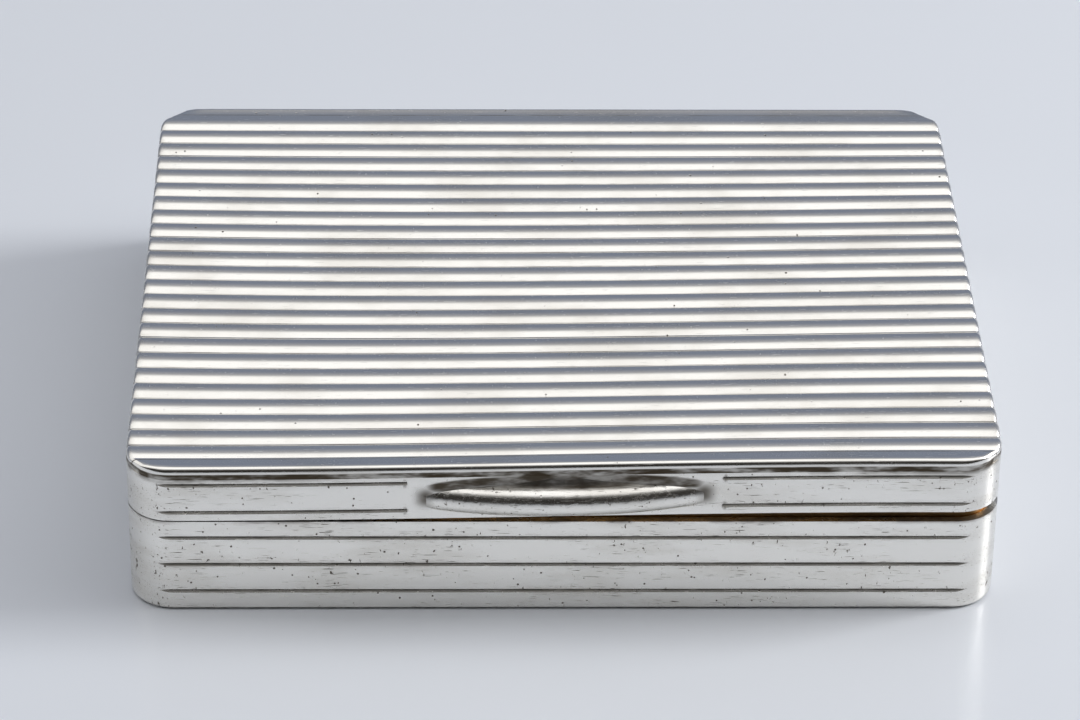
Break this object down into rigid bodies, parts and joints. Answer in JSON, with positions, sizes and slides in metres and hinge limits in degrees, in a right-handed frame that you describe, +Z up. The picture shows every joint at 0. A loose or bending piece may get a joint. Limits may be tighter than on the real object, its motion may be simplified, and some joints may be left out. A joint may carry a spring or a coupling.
{
  "type": "hinged matchbox holder",
  "caption": "Shallow silver pocket box for matches, with a reeded hinged lid, engraved lines round the walls, a thumbpiece at the front and a gilt bezel inside.",
  "frame": {"origin": "centre of the flat underside, on the surface that the box rests on", "axes": "+X to the right along the width, +Y to the hinge at the back, +Z up; the thumbpiece faces -Y"},
  "size_m": [0.07, 0.0609, 0.014],
  "materials": {
    "silver": "polished silver, worn, with tarnish in the grooves",
    "gilt": "worn gilding over silver, tarnished brown",
    "pin": "drawn wire, filed flush at both ends"
  },
  "bodies": {
    "base": {"base_wall": "silver", "base_plate": "silver", "base_bezel": "gilt", "base_hinge_bearer": "gilt", "base_knuckle_1": "silver", "base_knuckle_2": "silver", "base_knuckle_3": "silver", "base_knuckle_4": "silver", "base_knuckle_5": "silver", "hinge_pin": "pin"},
    "lid": {"lid_wall": "silver", "lid_top": "silver", "thumbpiece": "silver", "lid_hinge_bearer": "gilt", "lid_knuckle_1": "silver", "lid_knuckle_2": "silver", "lid_knuckle_3": "silver", "lid_knuckle_4": "silver"}
  },
  "joints": [
    {"name": "lid_hinge", "type": "hinge", "parent": "base", "child": "lid", "pos_m": [0, 0.0287, 0.00862], "axis": [-1, 0, 0], "range_deg": [0, 104]}
  ]
}
